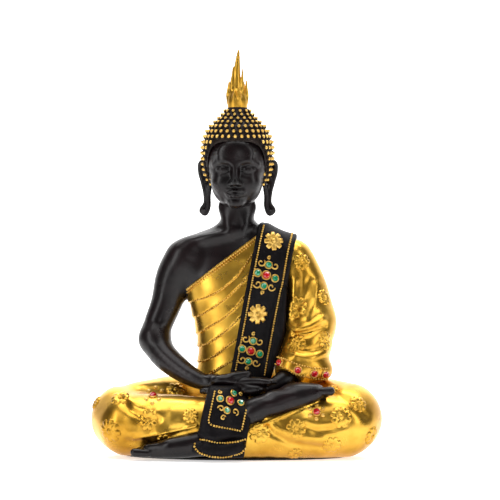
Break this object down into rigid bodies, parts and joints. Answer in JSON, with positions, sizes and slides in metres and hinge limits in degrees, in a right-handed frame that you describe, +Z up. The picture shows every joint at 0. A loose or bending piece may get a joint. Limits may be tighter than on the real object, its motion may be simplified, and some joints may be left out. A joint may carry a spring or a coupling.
{
  "type": "buddha statue",
  "caption": "Seated meditating figure with a flame finial, crossed legs, hands in the lap, a one-shouldered robe and a jewelled shoulder sash.",
  "frame": {"origin": "centre of the felt rest face under the crossed legs", "axes": "+Z up, the figure faces -Y, its right side is at -X"},
  "size_m": [0.2005, 0.1024, 0.2798],
  "materials": {
    "felt": "black self-adhesive felt",
    "plug": "cast resin closing plate, unpainted",
    "gold_robe": "metallic gold lacquer over cast resin, rubbed with brown in the folds",
    "skin": "near-black brown satin paint over cast resin, rubbed with red-brown",
    "hair": "near-black satin paint over cast resin",
    "gold_trim": "raised gold paste and gold paint",
    "steel": "plain steel rod",
    "sash": "black satin paint over cast resin",
    "red_gem": "clear red faceted acrylic stone, foil backed",
    "green_gem": "clear green faceted acrylic stone, foil backed"
  },
  "bodies": {
    "root": {"felt_pad": "felt", "base_plug": "plug", "legs_casting": "gold_robe", "torso_casting": "skin", "robe_bodice": "gold_robe", "right_arm": "skin", "left_hand": "skin", "left_sleeve": "gold_robe", "sleeve_hem": "gold_trim", "head_casting": "skin", "hair_cap": "hair", "hair_curls": "gold_trim", "flame_finial": "gold_robe", "finial_pin": "steel", "neck_dowel": "steel", "right_arm_peg": "steel", "right_foot": "skin", "left_foot": "skin", "shoulder_sash": "sash", "sash_end": "sash", "sash_bead_rows": "gold_trim", "sash_end_bead_rows": "gold_trim", "neckline_beads": "gold_trim", "pleat_bead_rows": "gold_trim", "cuff_bead_rows": "gold_trim", "sash_red_gems": "red_gem", "sash_green_gems": "green_gem", "robe_red_gems": "red_gem", "gem_bezels": "gold_trim", "robe_gem_bezels": "gold_trim", "sash_rosettes": "gold_trim", "leg_rosettes": "gold_trim", "sleeve_rosettes": "gold_trim", "sash_scrollwork": "gold_trim"}
  },
  "joints": []
}
